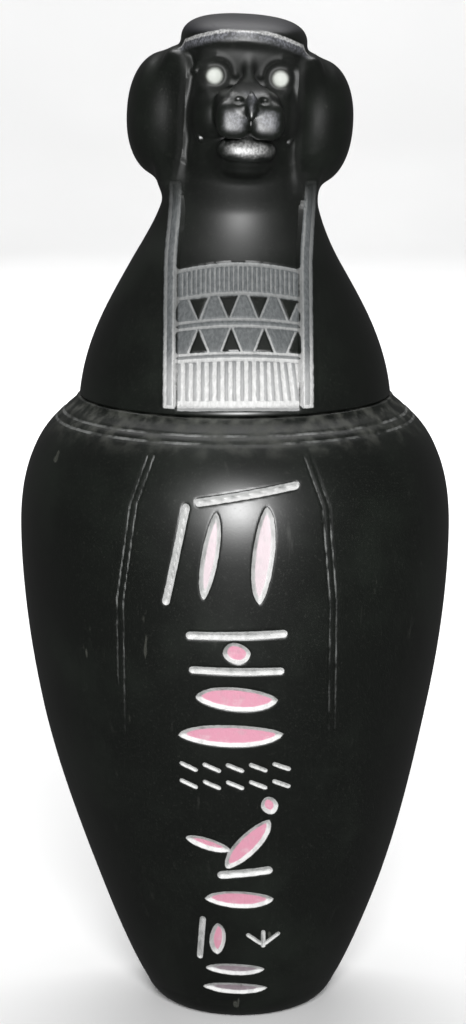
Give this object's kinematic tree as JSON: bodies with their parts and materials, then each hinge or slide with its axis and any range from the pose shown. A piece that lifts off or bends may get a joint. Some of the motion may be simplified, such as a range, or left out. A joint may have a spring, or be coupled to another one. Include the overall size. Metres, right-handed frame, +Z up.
{
  "type": "canopic jar",
  "caption": "Tall ovoid stone jar on a small foot, with a lift-off lid carved as a baboon's head over a long wig.",
  "frame": {"origin": "on the ground, under the middle of the whole jar", "axes": "+Z up along the jar's height, the baboon's face and the column of strokes towards -Y, +X to the right of someone who faces the jar"},
  "size_m": [0.1544, 0.1544, 0.3597],
  "materials": {
    "jar_stone": "black polished stone, with cut strokes that show pale stone and hold traces of pink paint",
    "lid_stone": "black polished stone, with a scratched pale collar and pale painted eyes"
  },
  "bodies": {
    "root": {"jar": "jar_stone", "lid": "lid_stone"}
  },
  "joints": []
}
